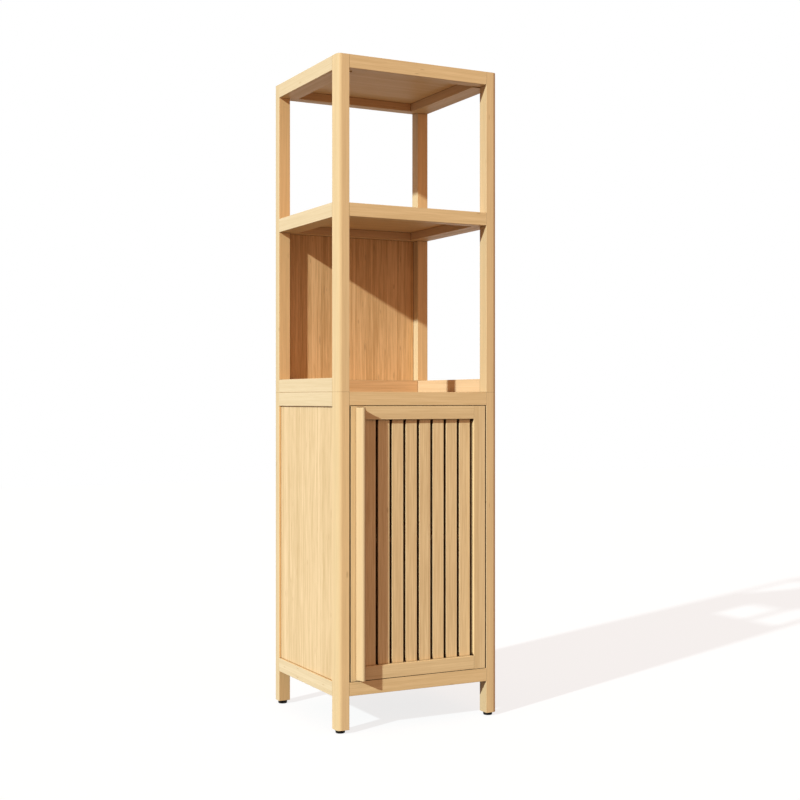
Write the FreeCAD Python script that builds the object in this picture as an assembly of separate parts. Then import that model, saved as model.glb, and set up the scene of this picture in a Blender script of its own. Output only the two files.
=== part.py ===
import FreeCAD, Part
import math
import os
from collections import namedtuple

# A tall bathroom cabinet of laminated bamboo in two stacked halves.
# Below: a cupboard on four legs, with panelled sides and a slatted door on pivot pins.
# Above: an open rack of four posts with a framed shelf half way up and a framed top.
# Millimetres. X runs to the right, Y to the back and Z up from the floor.
# The origin is on the floor, under the middle of the bounding box, handle included.

# Whole cabinet
WIDTH = 380.0
DEPTH = 342.0  # front of the posts to their back, without the handle
HEIGHT = 1394.0
SEAM_HEIGHT = 701.0  # top of the cupboard, on which the rack stands
SHELF_HEIGHT = 1089.5  # top of the rack's shelf
BASE_HEIGHT = 104.5  # top of the cupboard's floor
INNER_SHELF_HEIGHT = 395.0  # top of the loose shelf behind the door
LEG_LIFT = 7.4  # lower end of the legs above the floor

# Posts
POST_WIDTH = 26.5
POST_DEPTH = 28.0
POST_CORNER = 10.0  # radius of the outer upright corner
EASE = 0.5  # small chamfer on sawn edges

# Rails of the four frames, and the low rails round the foot of the rack
RAIL_HEIGHT = 28.0  # front and rear
SIDE_RAIL_HEIGHT = 30.0
SIDE_RAIL_WIDTH = 45.0
RACK_BASE_RAIL_HEIGHT = 29.0

# Boards let into the tops of the frames, and the loose shelf
BOARD = 10.0
BOARD_LAP = 8.0
BOARD_GAP = 0.4
INNER_SHELF_GAP = 1.0

# Panels held in grooves
SIDE_PANEL = 9.0
SIDE_PANEL_RECESS = 5.0  # outer face of the panel behind the outer face of the posts
BACK_PANEL = 4.0
BACK_PANEL_RECESS = 2.0
GROOVE_DEPTH = 6.0
GROOVE_PLAY = 0.2

# Door
DOOR_THICKNESS = 18.0
DOOR_SIDE_GAP = 3.0
DOOR_END_GAP = 1.2
STILE_WIDTH = 28.0
DOOR_RAIL_HEIGHT = 28.0
TENON_LENGTH = 10.0
TENON_THICKNESS = 6.0
TENON_SHOULDER = 5.0
SLAT_COUNT = 8
SLAT_GAP = 6.0
SLAT_THICKNESS = 4.5
SLAT_RECESS = 7.0
SLAT_TONGUE = 8.0  # length of slat held in each door rail
GLUE_PLAY = 0.1
HOLE_END_GAP = 0.5

# Handle: a fin that leans to the right, over a round groove for the fingers
HANDLE_SETIN = 11.7
HANDLE_END_GAP = 3.0  # how far the handle stops short of both ends of the door
HANDLE_PROUD = 21.0
HANDLE_LEAN = 15.0  # degrees
HANDLE_BASE = 15.6
HANDLE_FOOT = 1.5
HANDLE_LIP = 9.0
FINGER_GROOVE = 14.0
FINGER_GROOVE_OUT = 9.7  # middle of the groove before the face of the door
FINGER_GROOVE_WALL = 7.8  # wood left between the groove and the left flank
HANDLE_TONGUE_WIDTH = 6.0
HANDLE_TONGUE_DEPTH = 5.0

# Loose tenons between rails and posts
LOOSE_TENON_THICKNESS = 6.0
LOOSE_TENON_HEIGHT = 14.0
LOOSE_TENON_REACH = 12.0  # into the post, and as far into the rail
LOOSE_TENON_WALL = 4.0  # wood left outside the tenon of a side rail

# Screws that hold the rack on the cupboard
STACK_SCREW = 5.0
STACK_SCREW_HEAD = 9.0
STACK_SCREW_HEAD_HEIGHT = 3.0
STACK_SCREW_SETBACK = 50.0
STACK_SCREW_BITE = 20.0

# Door pivots
PIVOT_PIN = 5.0
PIVOT_SETBACK = 7.0  # pivot axis behind the door's front face
PIVOT_IN_STILE = 20.0
PIVOT_PLAY = 0.06
PIVOT_END_PLAY = 0.3
BUSH = 8.0
BUSH_LENGTH = 9.0
BUSH_FLANGE = 12.0

# Magnetic catch under the left deck rail and its strike plate on the door
CATCH_WIDTH = 15.0
CATCH_LENGTH = 44.0
CATCH_HEIGHT = 17.0
CATCH_SIDE_GAP = 3.0
CATCH_GAP = 0.3
CATCH_WALL = 2.0
MAGNET_LENGTH = 18.0
MAGNET_HEIGHT = 6.0
MAGNET_DROP = 10.0  # middle of the magnet below the rail
POLE_PLATE = 1.5
POLE_PROUD = 0.8
STRIKE_WIDTH = 12.0
STRIKE_HEIGHT = 14.0
STRIKE_THICKNESS = 1.2

# Cleats that carry the loose shelf
CLEAT_HEIGHT = 14.0

# Screw-in feet
FOOT_SETBACK = 16.5  # axis of the foot from the front or back face of the cabinet
FOOT_DIAMETER = 20.8
FOOT_GAP = 0.3
FOOT_STUD = 8.0
FOOT_STUD_LENGTH = 24.0
FOOT_STUD_PLAY = 0.08

OVERRUN = 1.0  # how far a cutting shape runs out of the face that it enters

# Places worked out from the sizes above
LEFT = -WIDTH / 2
RIGHT = WIDTH / 2
FRONT = (HANDLE_PROUD - DEPTH) / 2
BACK = (HANDLE_PROUD + DEPTH) / 2
INNER_LEFT = LEFT + POST_WIDTH
INNER_RIGHT = RIGHT - POST_WIDTH
INNER_FRONT = FRONT + POST_DEPTH
INNER_BACK = BACK - POST_DEPTH
DECK_UNDERSIDE = SEAM_HEIGHT - RAIL_HEIGHT  # of the front and rear rails
DECK_SIDE_UNDERSIDE = SEAM_HEIGHT - SIDE_RAIL_HEIGHT
SHELF_UNDERSIDE = SHELF_HEIGHT - RAIL_HEIGHT
RACK_BASE_TOP = SEAM_HEIGHT + RACK_BASE_RAIL_HEIGHT
DOOR_LEFT = INNER_LEFT + DOOR_SIDE_GAP
DOOR_RIGHT = INNER_RIGHT - DOOR_SIDE_GAP
DOOR_BOTTOM = BASE_HEIGHT + DOOR_END_GAP
DOOR_TOP = DECK_UNDERSIDE - DOOR_END_GAP
DOOR_BACK = FRONT + DOOR_THICKNESS
SLATS_LEFT = DOOR_LEFT + STILE_WIDTH
SLATS_RIGHT = DOOR_RIGHT - STILE_WIDTH
PIVOT_X = DOOR_RIGHT - STILE_WIDTH / 2
PIVOT_Y = FRONT + PIVOT_SETBACK
CATCH_X = INNER_LEFT + CATCH_SIDE_GAP + CATCH_WIDTH / 2
POLE_FACE = DOOR_BACK + CATCH_GAP
MAGNET_Z = DECK_SIDE_UNDERSIDE - MAGNET_DROP
PANEL_FACE = RIGHT - SIDE_PANEL_RECESS - SIDE_PANEL  # inner face of the right side panel

V = FreeCAD.Vector
UP = V(0, 0, 1)
DOWN = V(0, 0, -1)

# Turns that lay a prism drawn along Z along another axis; u and v then run along the next two axes
TURNS = {
    "x": FreeCAD.Rotation(V(1, 1, 1), 120),
    "y": FreeCAD.Rotation(V(1, 1, 1), 240),
    "z": FreeCAD.Rotation(),
}
SIDES = ("left", "right")
ENDS = ("front", "rear")
UNDER = "groove in the underside"
OVER = "groove in the top edge"

Frame = namedtuple("Frame", "name top side_top side_groove back_groove")
Rail = namedtuple("Rail", "name run across bottom top fixing_band")

# The rails of a frame are flush above, but those of the shelf are flush below
FRAMES = (
    Frame("top", HEIGHT, HEIGHT, None, None),
    Frame("shelf", SHELF_HEIGHT, SHELF_UNDERSIDE + SIDE_RAIL_HEIGHT, None, UNDER),
    Frame("deck", SEAM_HEIGHT, SEAM_HEIGHT, UNDER, UNDER),
    Frame("base", BASE_HEIGHT, BASE_HEIGHT, OVER, OVER),
)


def block(x, y, z):
    """Box between three (low, high) pairs."""
    return Part.makeBox(x[1] - x[0], y[1] - y[0], z[1] - z[0], V(x[0], y[0], z[0]))


def grown(span, play):
    """A (low, high) pair, wider by the play at both ends."""
    return span[0] - play, span[1] + play


def about(middle, size):
    """A (low, high) pair of the given size about a middle."""
    return middle - size / 2, middle + size / 2


def rectangle(u, v, ease=0, rounded=None, radius=0):
    """Corners of a rectangle, anticlockwise: eased, apart from one that may be rounded."""
    places = ((u[0], v[0]), (u[1], v[0]), (u[1], v[1]), (u[0], v[1]))
    return [(p, radius, True) if p == rounded else (p, ease, False) for p in places]


def outline(corners):
    """Wire through right-angled corners, each with its cut size and whether it is rounded."""
    legs = []
    for number, (place, size, rounded) in enumerate(corners):
        here = V(*place)
        before = V(*corners[number - 1][0]) - here
        after = V(*corners[(number + 1) % len(corners)][0]) - here
        legs.append((here, before.normalize() * size, after.normalize() * size, rounded))
    edges = []
    for number, (here, before, after, rounded) in enumerate(legs):
        following, lead_in = legs[(number + 1) % len(legs)][:2]
        edges.append(Part.makeLine(here + after, following + lead_in))
        if before.Length == 0:
            continue
        if rounded:
            middle = here + (before + after) * (1 - math.sqrt(0.5))
            edges.append(Part.Arc(here + before, middle, here + after).toShape())
        else:
            edges.append(Part.makeLine(here + before, here + after))
    return Part.Wire(Part.__sortEdges__(edges))


def laid(wire, axis, span):
    """Prism of a wire drawn in XY, laid along an axis between the span's ends."""
    solid = Part.Face(wire).extrude(UP * (span[1] - span[0]))
    solid.translate(UP * span[0])
    solid.Placement = FreeCAD.Placement(V(), TURNS[axis]).multiply(solid.Placement)
    return solid


def turned(profile, start, direction):
    """Turned piece: (radius, distance) points revolved about the line from start."""
    points = [V(radius, 0, distance) for radius, distance in profile]
    solid = Part.Face(Part.makePolygon(points + points[:1])).revolve(V(), UP, 360)
    solid.Placement = FreeCAD.Placement(start, FreeCAD.Rotation(UP, direction))
    return solid


def rod(diameter, length, start, direction):
    """Plain round bar."""
    return Part.makeCylinder(diameter / 2, length, start, direction)


def hole(diameter, depth, start, direction):
    """Cutting shape of a round hole that enters at start, with the overrun behind it."""
    return rod(diameter, depth + OVERRUN, start - direction * OVERRUN, direction)


def cut(solid, tools):
    """The solid less the tools that reach it."""
    reaching = [tool for tool in tools if tool.BoundBox.intersect(solid.BoundBox)]
    if not reaching:
        return solid
    return solid.cut(reaching).removeSplitter().Solids[0]


def middle_of(span):
    """Middle of a (low, high) pair."""
    return sum(span) / 2


def fixing_band(bottom, top, groove):
    """Heights in a rail that no groove takes away."""
    if groove == UNDER:
        return bottom + GROOVE_DEPTH, top
    if groove == OVER:
        return bottom, top - GROOVE_DEPTH
    return bottom, top


def side_across(side, width):
    """Left and right limits of a side rail of the given width, flush with the posts."""
    return (LEFT, LEFT + width) if side == "left" else (RIGHT - width, RIGHT)


def end_across(end):
    """Front and back limits of the front or rear rails and posts."""
    return (FRONT, INNER_FRONT) if end == "front" else (INNER_BACK, BACK)


def all_rails():
    """Every rail of the four frames and of the rack's foot."""
    rails = []
    for frame in FRAMES:
        bottom = frame.top - RAIL_HEIGHT
        for end in ENDS:
            groove = frame.back_groove if end == "rear" else None
            band = fixing_band(bottom, frame.top, groove)
            rails.append(Rail(f"{frame.name}_rail_{end}", "x", end_across(end), bottom, frame.top, band))
        side_bottom = frame.side_top - SIDE_RAIL_HEIGHT
        band = fixing_band(side_bottom, frame.side_top, frame.side_groove)
        for side in SIDES:
            across = side_across(side, SIDE_RAIL_WIDTH)
            rails.append(Rail(f"{frame.name}_rail_{side}", "y", across, side_bottom, frame.side_top, band))
    band = fixing_band(SEAM_HEIGHT, RACK_BASE_TOP, OVER)
    rails.append(Rail("rack_base_rail_rear", "x", end_across("rear"), SEAM_HEIGHT, RACK_BASE_TOP, band))
    band = fixing_band(SEAM_HEIGHT, RACK_BASE_TOP, None)
    for side in SIDES:
        across = side_across(side, POST_WIDTH)
        rails.append(Rail(f"rack_base_rail_{side}", "y", across, SEAM_HEIGHT, RACK_BASE_TOP, band))
    return rails


def rail_solid(rail):
    """Bar of one rail with its long edges eased."""
    height = (rail.bottom, rail.top)
    if rail.run == "x":
        return laid(outline(rectangle(rail.across, height, EASE)), "x", (INNER_LEFT, INNER_RIGHT))
    return laid(outline(rectangle(height, rail.across, EASE)), "y", (INNER_FRONT, INNER_BACK))


def post_solid(side, end, height):
    """Post with a large round on its outer upright corner and eased ends."""
    across = side_across(side, POST_WIDTH)
    along = end_across(end)
    outer = (LEFT if side == "left" else RIGHT, FRONT if end == "front" else BACK)
    solid = laid(outline(rectangle(across, along, EASE, outer, POST_CORNER)), "z", height)
    rims = [face.OuterWire.Edges for face in solid.Faces if abs(face.normalAt(0, 0).z) == 1]
    return solid.makeChamfer(EASE / 2, [edge for rim in rims for edge in rim])


def posts():
    """Four legs of the cupboard and four posts of the rack."""
    pieces = {}
    for end in ENDS:
        for side in SIDES:
            pieces[f"leg_post_{end}_{side}"] = post_solid(side, end, (LEG_LIFT, SEAM_HEIGHT))
            pieces[f"rack_post_{end}_{side}"] = post_solid(side, end, (SEAM_HEIGHT, HEIGHT))
    return pieces


def boards():
    """Boards of the four frames, and the rebate that each one needs in its own rails."""
    across = (LEFT + SIDE_RAIL_WIDTH - BOARD_LAP, RIGHT - SIDE_RAIL_WIDTH + BOARD_LAP)
    along = (INNER_FRONT - BOARD_LAP, INNER_BACK + BOARD_LAP)
    pieces = {}
    rebates = {}
    for frame in FRAMES:
        low = frame.top - BOARD
        pieces[f"{frame.name}_board"] = block(across, along, (low, frame.top))
        opening = (low, frame.side_top + OVERRUN)
        rebates[frame.name] = block(grown(across, BOARD_GAP), grown(along, BOARD_GAP), opening)
    return pieces, rebates


def panels():
    """Side and back panels with their tongues, and the grooves that hold them."""
    cupboard_back = grown((BASE_HEIGHT, DECK_UNDERSIDE), GROOVE_DEPTH)
    cupboard_side = grown((BASE_HEIGHT, DECK_SIDE_UNDERSIDE), GROOVE_DEPTH)
    middle_bay = grown((RACK_BASE_TOP, SHELF_UNDERSIDE), GROOVE_DEPTH)
    along = grown((INNER_FRONT, INNER_BACK), GROOVE_DEPTH)
    across = grown((INNER_LEFT, INNER_RIGHT), GROOVE_DEPTH)
    back = (BACK - BACK_PANEL_RECESS - BACK_PANEL, BACK - BACK_PANEL_RECESS)
    left = (LEFT + SIDE_PANEL_RECESS, LEFT + SIDE_PANEL_RECESS + SIDE_PANEL)
    right = (-left[1], -left[0])
    spans = {
        "side_panel_left": (left, along, cupboard_side),
        "side_panel_right": (right, along, cupboard_side),
        "cupboard_back_panel": (across, back, cupboard_back),
        "rack_back_panel": (across, back, middle_bay),
    }
    pieces = {name: block(*span) for name, span in spans.items()}
    grooves = [block(*(grown(pair, GROOVE_PLAY) for pair in span)) for span in spans.values()]
    return pieces, grooves


def loose_tenons(rails):
    """Tenons that join every rail end to its post, and their mortises."""
    tenons = []
    mortises = []
    for rail in rails:
        height = about(middle_of(rail.fixing_band), LOOSE_TENON_HEIGHT)
        if rail.run == "x":
            ends = (INNER_LEFT, INNER_RIGHT)
            thickness = about(middle_of(rail.across), LOOSE_TENON_THICKNESS)
        else:
            ends = (INNER_FRONT, INNER_BACK)
            inset = LOOSE_TENON_WALL + LOOSE_TENON_THICKNESS / 2
            middle = rail.across[0] + inset if rail.across[0] == LEFT else rail.across[1] - inset
            thickness = about(middle, LOOSE_TENON_THICKNESS)
        for end in ends:
            length = grown((end, end), LOOSE_TENON_REACH)
            spans = [length, thickness, height] if rail.run == "x" else [thickness, length, height]
            tenons.append(block(*spans))
            mortises.append(block(*(grown(span, GLUE_PLAY) for span in spans)))
    return {"rail_tenons": Part.makeCompound(tenons)}, mortises


def stacking_screws():
    """Screws driven up from the cupboard, through the deck's side rails into the rack's foot."""
    inset = (SIDE_PANEL_RECESS + SIDE_PANEL + POST_WIDTH) / 2
    length = SIDE_RAIL_HEIGHT + STACK_SCREW_BITE
    profile = (
        (0, -STACK_SCREW_HEAD_HEIGHT),
        (STACK_SCREW_HEAD / 2, -STACK_SCREW_HEAD_HEIGHT),
        (STACK_SCREW_HEAD / 2, 0),
        (STACK_SCREW / 2, 0),
        (STACK_SCREW / 2, length),
        (0, length),
    )
    solids = []
    bores = []
    for x in (LEFT + inset, RIGHT - inset):
        for y in grown((INNER_FRONT, INNER_BACK), -STACK_SCREW_SETBACK):
            face = V(x, y, DECK_SIDE_UNDERSIDE)
            solids.append(turned(profile, face, UP))
            bores.append(hole(STACK_SCREW + GLUE_PLAY, length + HOLE_END_GAP, face, UP))
    return {"stacking_screws": Part.makeCompound(solids)}, bores


def inner_shelf():
    """Loose shelf and the two cleats, glued to the side panels, that it lies on."""
    along = grown((INNER_FRONT, INNER_BACK), -INNER_SHELF_GAP)
    underside = INNER_SHELF_HEIGHT - BOARD
    shelf = block(grown((-PANEL_FACE, PANEL_FACE), -INNER_SHELF_GAP), along, (underside, INNER_SHELF_HEIGHT))
    height = (underside - CLEAT_HEIGHT, underside)
    return {
        "inner_shelf": shelf,
        "shelf_cleat_left": laid(outline(rectangle(height, (-PANEL_FACE, INNER_LEFT), EASE)), "y", along),
        "shelf_cleat_right": laid(outline(rectangle(height, (INNER_RIGHT, PANEL_FACE), EASE)), "y", along),
    }


def pivots():
    """Pins pressed into the hinge stile, and the flanged bushes that they turn in."""
    flange = DOOR_END_GAP - PIVOT_END_PLAY
    bore = PIVOT_PIN / 2 + PIVOT_PLAY
    bush_profile = (
        (bore, -flange),
        (BUSH_FLANGE / 2, -flange),
        (BUSH_FLANGE / 2, 0),
        (BUSH / 2, 0),
        (BUSH / 2, BUSH_LENGTH),
        (bore, BUSH_LENGTH),
    )
    reach = DOOR_END_GAP + BUSH_LENGTH - HOLE_END_GAP
    pins = []
    bushes = []
    pin_bores = []
    bush_bores = []
    for rail_face, door_end, outward in ((DECK_UNDERSIDE, DOOR_TOP, UP), (BASE_HEIGHT, DOOR_BOTTOM, DOWN)):
        seat = V(PIVOT_X, PIVOT_Y, rail_face)
        bushes.append(turned(bush_profile, seat, outward))
        bush_bores.append(hole(BUSH + GLUE_PLAY, BUSH_LENGTH + HOLE_END_GAP, seat, outward))
        stile_end = V(PIVOT_X, PIVOT_Y, door_end)
        pins.append(rod(PIVOT_PIN, PIVOT_IN_STILE + reach, stile_end - outward * PIVOT_IN_STILE, outward))
        pin_bores.append(hole(PIVOT_PIN + GLUE_PLAY, PIVOT_IN_STILE + HOLE_END_GAP, stile_end, -outward))
    return Part.makeCompound(pins), pin_bores, Part.makeCompound(bushes), bush_bores


def catch():
    """Magnetic catch under the left deck rail: a housing, and a magnet between two pole plates."""
    housing_front = POLE_FACE + POLE_PROUD
    across = about(CATCH_X, CATCH_WIDTH)
    along = (housing_front, housing_front + CATCH_LENGTH)
    height = (DECK_SIDE_UNDERSIDE - CATCH_HEIGHT, DECK_SIDE_UNDERSIDE)
    housing = laid(outline(rectangle(across, along, EASE)), "z", height)

    inside = grown(across, -CATCH_WALL)
    pack_back = POLE_FACE + MAGNET_LENGTH
    magnet_height = about(MAGNET_Z, MAGNET_HEIGHT)
    pack_height = grown(magnet_height, POLE_PLATE)
    magnet = block(inside, (housing_front, pack_back), magnet_height)
    upper_pole = block(inside, (POLE_FACE, pack_back), (magnet_height[1], pack_height[1]))
    lower_pole = block(inside, (POLE_FACE, pack_back), (pack_height[0], magnet_height[0]))
    depth = (housing_front - OVERRUN, pack_back + GLUE_PLAY)
    pocket = block(grown(inside, GLUE_PLAY), depth, grown(pack_height, GLUE_PLAY))

    return {
        "catch_housing": cut(housing, [pocket]),
        "catch_magnet": Part.makeCompound([magnet, upper_pole, lower_pole]),
    }


def strike():
    """Strike plate let in flush with the back of the handle stile, and its pocket."""
    across = about(CATCH_X, STRIKE_WIDTH)
    height = about(MAGNET_Z, STRIKE_HEIGHT)
    depth = (DOOR_BACK - STRIKE_THICKNESS, DOOR_BACK)
    plate = laid(outline(rectangle(height, across, EASE)), "y", depth)
    pocket = block(grown(across, GLUE_PLAY), (depth[0], DOOR_BACK + OVERRUN), grown(height, GLUE_PLAY))
    return {"strike_plate": plate}, [pocket]


def slats():
    """Upright slats at an even pitch across the door, and their mortises in the door rails."""
    width = (SLATS_RIGHT - SLATS_LEFT - SLAT_GAP * (SLAT_COUNT + 1)) / SLAT_COUNT
    along = (FRONT + SLAT_RECESS, FRONT + SLAT_RECESS + SLAT_THICKNESS)
    height = grown((DOOR_BOTTOM, DOOR_TOP), SLAT_TONGUE - DOOR_RAIL_HEIGHT)
    solids = []
    mortises = []
    for number in range(SLAT_COUNT):
        left = SLATS_LEFT + SLAT_GAP + number * (width + SLAT_GAP)
        across = (left, left + width)
        solids.append(laid(outline(rectangle(across, along, EASE)), "z", height))
        mortises.append(block(grown(across, GLUE_PLAY), grown(along, GLUE_PLAY), grown(height, GLUE_PLAY)))
    return {"door_slats": Part.makeCompound(solids)}, mortises


def door_frame(slat_mortises, stile_bores):
    """Stiles and rails of the door, joined by tenons on the ends of the rails."""
    along = (FRONT, DOOR_BACK)
    tenon_along = about(middle_of(along), TENON_THICKNESS)
    shoulder = (SLATS_LEFT, SLATS_RIGHT)
    pieces = {}
    tenon_mortises = []
    heights = {
        "top": (DOOR_TOP - DOOR_RAIL_HEIGHT, DOOR_TOP),
        "bottom": (DOOR_BOTTOM, DOOR_BOTTOM + DOOR_RAIL_HEIGHT),
    }
    for end, height in heights.items():
        tenon_height = grown(height, -TENON_SHOULDER)
        bar = laid(outline(rectangle(along, height, EASE)), "x", shoulder)
        tenon = block(grown(shoulder, TENON_LENGTH), tenon_along, tenon_height)
        pieces[f"door_rail_{end}"] = cut(bar.fuse(tenon).removeSplitter().Solids[0], slat_mortises)
        mortise = [grown(shoulder, TENON_LENGTH + HOLE_END_GAP)]
        mortise += [grown(span, GLUE_PLAY) for span in (tenon_along, tenon_height)]
        tenon_mortises.append(block(*mortise))
    spans = {"left": (DOOR_LEFT, SLATS_LEFT), "right": (SLATS_RIGHT, DOOR_RIGHT)}
    for side, across in spans.items():
        stile = laid(outline(rectangle(across, along, EASE)), "z", (DOOR_BOTTOM, DOOR_TOP))
        pieces[f"door_stile_{side}"] = cut(stile, tenon_mortises + stile_bores)
    return pieces


def handle():
    """Long fin with a rounded lip and a tongue in the stile, and the groove for that tongue."""
    lean = math.radians(HANDLE_LEAN)
    outward = V(math.sin(lean), -math.cos(lean))
    rightward = V(math.cos(lean), math.sin(lean))
    nose = HANDLE_LIP / 2
    heel = V(DOOR_LEFT + HANDLE_SETIN, FRONT)
    base = heel + V(HANDLE_BASE, 0)
    foot = base - V(0, HANDLE_FOOT)
    flank_end = heel + outward * (HANDLE_PROUD - nose * (1 - math.sin(lean))) / math.cos(lean)
    lip_middle = flank_end + rightward * nose
    lip_end = lip_middle + rightward * nose
    edges = [
        Part.makeLine(heel, flank_end),
        Part.Arc(flank_end, lip_middle + outward * nose, lip_end).toShape(),
        Part.makeLine(lip_end, foot),
        Part.makeLine(foot, base),
        Part.makeLine(base, heel),
    ]
    height = grown((DOOR_BOTTOM, DOOR_TOP), -HANDLE_END_GAP)
    fin = laid(Part.Wire(Part.__sortEdges__(edges)), "z", height)
    groove_x = heel.x + FINGER_GROOVE_OUT * math.tan(lean) + FINGER_GROOVE_WALL + FINGER_GROOVE / 2
    groove_span = grown(height, OVERRUN)
    groove_start = V(groove_x, FRONT - FINGER_GROOVE_OUT, groove_span[0])
    fin = cut(fin, [rod(FINGER_GROOVE, groove_span[1] - groove_span[0], groove_start, UP)])

    across = about(middle_of((heel.x, base.x)), HANDLE_TONGUE_WIDTH)
    tongue = block(across, (FRONT, FRONT + HANDLE_TONGUE_DEPTH), height)
    slot_depth = (FRONT - OVERRUN, FRONT + HANDLE_TONGUE_DEPTH + GLUE_PLAY)
    slot = block(grown(across, GLUE_PLAY), slot_depth, grown(height, GLUE_PLAY))
    return {"door_handle": fin.fuse(tongue).removeSplitter().Solids[0]}, [slot]


def feet():
    """Screw-in feet under the legs, and the holes that their studs run in."""
    rim = LEG_LIFT - FOOT_GAP
    profile = (
        (0, 0),
        (FOOT_DIAMETER / 2, 0),
        (FOOT_DIAMETER / 2, rim),
        (FOOT_STUD / 2, rim),
        (FOOT_STUD / 2, rim + FOOT_STUD_LENGTH),
        (0, rim + FOOT_STUD_LENGTH),
    )
    pieces = {}
    bores = []
    for end, y in zip(ENDS, grown((FRONT, BACK), -FOOT_SETBACK)):
        for side in SIDES:
            x = middle_of(side_across(side, POST_WIDTH))
            pieces[f"foot_{end}_{side}"] = turned(profile, V(x, y), UP)
            mouth = V(x, y, LEG_LIFT)
            bores.append(hole(FOOT_STUD + FOOT_STUD_PLAY * 2, FOOT_STUD_LENGTH + HOLE_END_GAP, mouth, UP))
    return pieces, bores


def carcass():
    """Everything that stands still: posts, rails, boards, panels and their fittings."""
    rails = all_rails()
    board_pieces, rebates = boards()
    panel_pieces, grooves = panels()
    bushes, bush_bores = pivots()[2:]
    tenon_pieces, tenon_mortises = loose_tenons(rails)
    stack_pieces, stack_bores = stacking_screws()
    foot_pieces, foot_bores = feet()

    bores = grooves + tenon_mortises + stack_bores + bush_bores + foot_bores
    pieces = {name: cut(solid, bores) for name, solid in posts().items()}
    for rail in rails:
        own_rebate = [rebates[frame] for frame in rebates if rail.name.startswith(f"{frame}_")]
        pieces[rail.name] = cut(rail_solid(rail), own_rebate + bores)
    pieces["pivot_bushes"] = bushes
    fitted = (board_pieces, panel_pieces, inner_shelf(), catch(), tenon_pieces, stack_pieces, foot_pieces)
    for group in fitted:
        pieces.update(group)
    return pieces


def door():
    """Everything that swings with the door."""
    slat_pieces, slat_mortises = slats()
    handle_pieces, handle_bores = handle()
    strike_pieces, strike_bores = strike()
    pins, pin_bores = pivots()[:2]
    pieces = door_frame(slat_mortises, handle_bores + strike_bores + pin_bores)
    pieces["pivot_pins"] = pins
    for group in (slat_pieces, handle_pieces, strike_pieces):
        pieces.update(group)
    return pieces


def main():
    """Write one file per piece."""
    os.makedirs("parts", exist_ok=True)
    for group in (carcass(), door()):
        for name, shape in group.items():
            shape.exportStep(f"parts/{name}.step")


if __name__ == "__main__":
    main()
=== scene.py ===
"""Finishes, small fittings and studio of a tall bamboo bathroom cabinet.

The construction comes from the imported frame: an open rack stacked on a cupboard with a slatted
door. This script gives every piece its finish, models the moulded feet and the screws, and sets
up the floor, the light and the camera. All lengths are in metres, in the frame's own axes.
"""

from __future__ import annotations

import logging
import math
from collections.abc import Callable, Iterable
from dataclasses import dataclass, replace
from enum import Enum

import bmesh
import bpy
from mathutils import Matrix, Vector


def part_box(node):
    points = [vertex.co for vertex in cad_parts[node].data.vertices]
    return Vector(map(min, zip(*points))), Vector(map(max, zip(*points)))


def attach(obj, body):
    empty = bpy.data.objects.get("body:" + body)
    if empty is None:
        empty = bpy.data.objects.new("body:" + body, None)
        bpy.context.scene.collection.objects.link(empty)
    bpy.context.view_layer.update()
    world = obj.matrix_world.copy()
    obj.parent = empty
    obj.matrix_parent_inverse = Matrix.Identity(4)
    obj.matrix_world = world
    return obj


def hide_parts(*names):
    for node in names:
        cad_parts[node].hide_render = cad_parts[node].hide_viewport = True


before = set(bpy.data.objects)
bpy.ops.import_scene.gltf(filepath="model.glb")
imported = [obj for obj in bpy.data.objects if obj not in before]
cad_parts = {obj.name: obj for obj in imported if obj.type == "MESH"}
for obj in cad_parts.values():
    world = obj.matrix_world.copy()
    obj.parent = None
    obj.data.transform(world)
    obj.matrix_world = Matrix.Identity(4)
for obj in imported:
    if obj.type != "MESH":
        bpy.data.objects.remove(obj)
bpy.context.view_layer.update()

LOG = logging.getLogger("cabinet")
SHARP_DEGREES = 40.0

RGB = tuple[float, float, float]
Socket = bpy.types.NodeSocket
Sockets = dict[str, Socket]
Source = float | RGB | Vector | Socket
SIDES = ("left", "right")
ENDS = ("front", "rear")


class Run(Enum):
    """Direction in which the bamboo fibres of a piece run, as the order of its axes."""

    ACROSS = (1, 2, 0)
    DEEP = (2, 0, 1)
    UPRIGHT = (0, 1, 2)


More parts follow.
